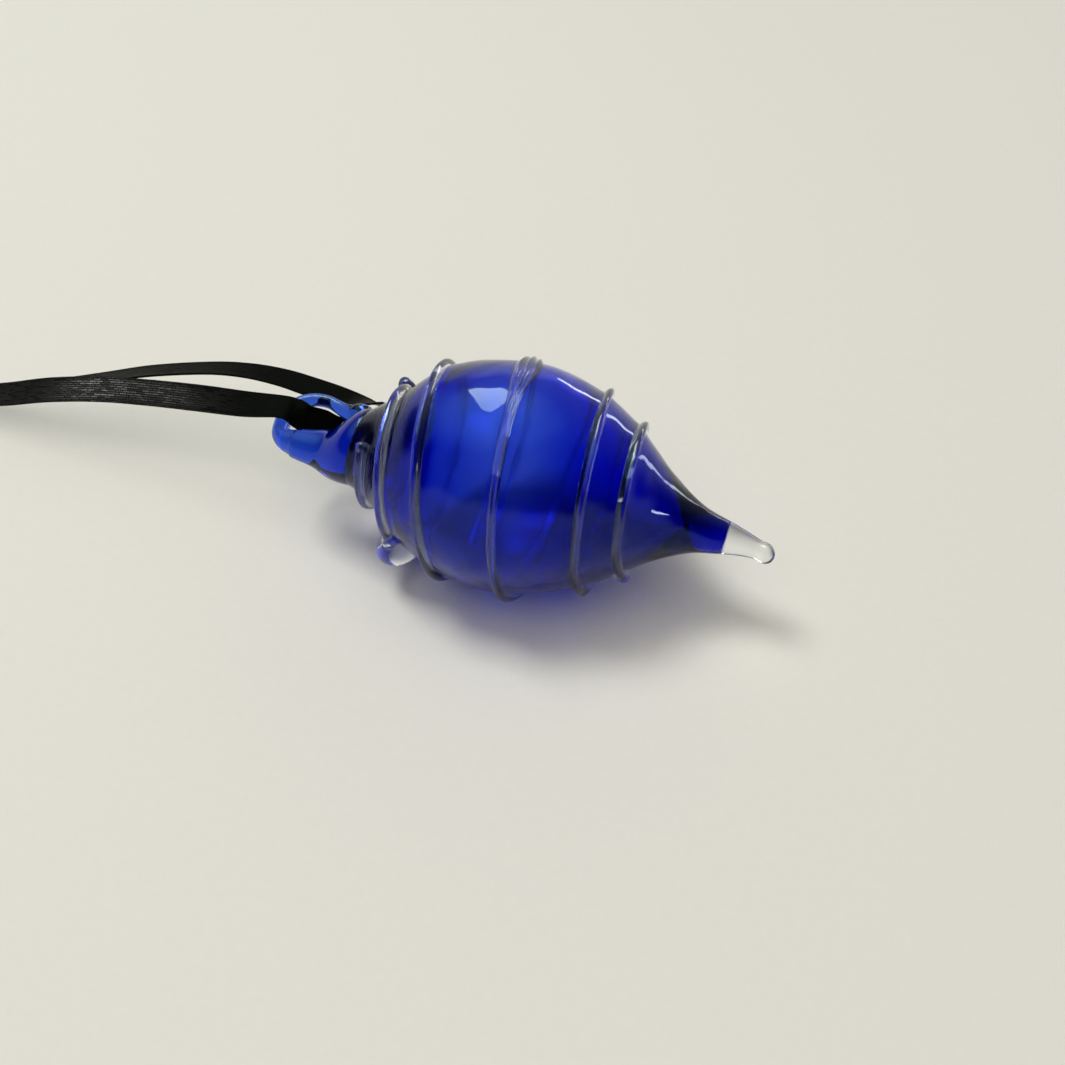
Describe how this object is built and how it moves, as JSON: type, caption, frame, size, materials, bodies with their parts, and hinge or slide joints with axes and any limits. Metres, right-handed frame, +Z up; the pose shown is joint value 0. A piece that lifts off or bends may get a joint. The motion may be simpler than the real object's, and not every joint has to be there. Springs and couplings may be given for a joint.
{
  "type": "hanging glass ornament",
  "caption": "Hollow blown glass teardrop with a drawn clear tip, a clear glass thread wound round it, a hooked hanging loop and a knotted satin ribbon to hang it by.",
  "frame": {"origin": "on the table under the middle of the glass, which lies on its side on the thread", "axes": "+X towards the clear tip along the table, -X towards the loop and ribbon, +Z up"},
  "size_m": [0.1404, 0.0304, 0.0298],
  "materials": {
    "cobalt_glass": "clear deep blue blown glass, fire polished",
    "clear_glass": "clear drawn glass, fire polished",
    "black_satin": "woven satin ribbon"
  },
  "bodies": {
    "glass": {"bulb_shell": "cobalt_glass", "clear_tip": "clear_glass", "spiral_thread": "clear_glass", "hanging_loop": "cobalt_glass"},
    "ribbon": {"ribbon_front_strand": "black_satin", "ribbon_back_strand": "black_satin", "ribbon_knot": "black_satin", "ribbon_long_tail": "black_satin", "ribbon_short_tail": "black_satin"}
  },
  "joints": [
    {"name": "ribbon_swing", "type": "hinge", "parent": "glass", "child": "ribbon", "pos_m": [-0.03038, 0, 0.01511], "axis": [0, 1, 0], "range_deg": [0, 100]}
  ]
}
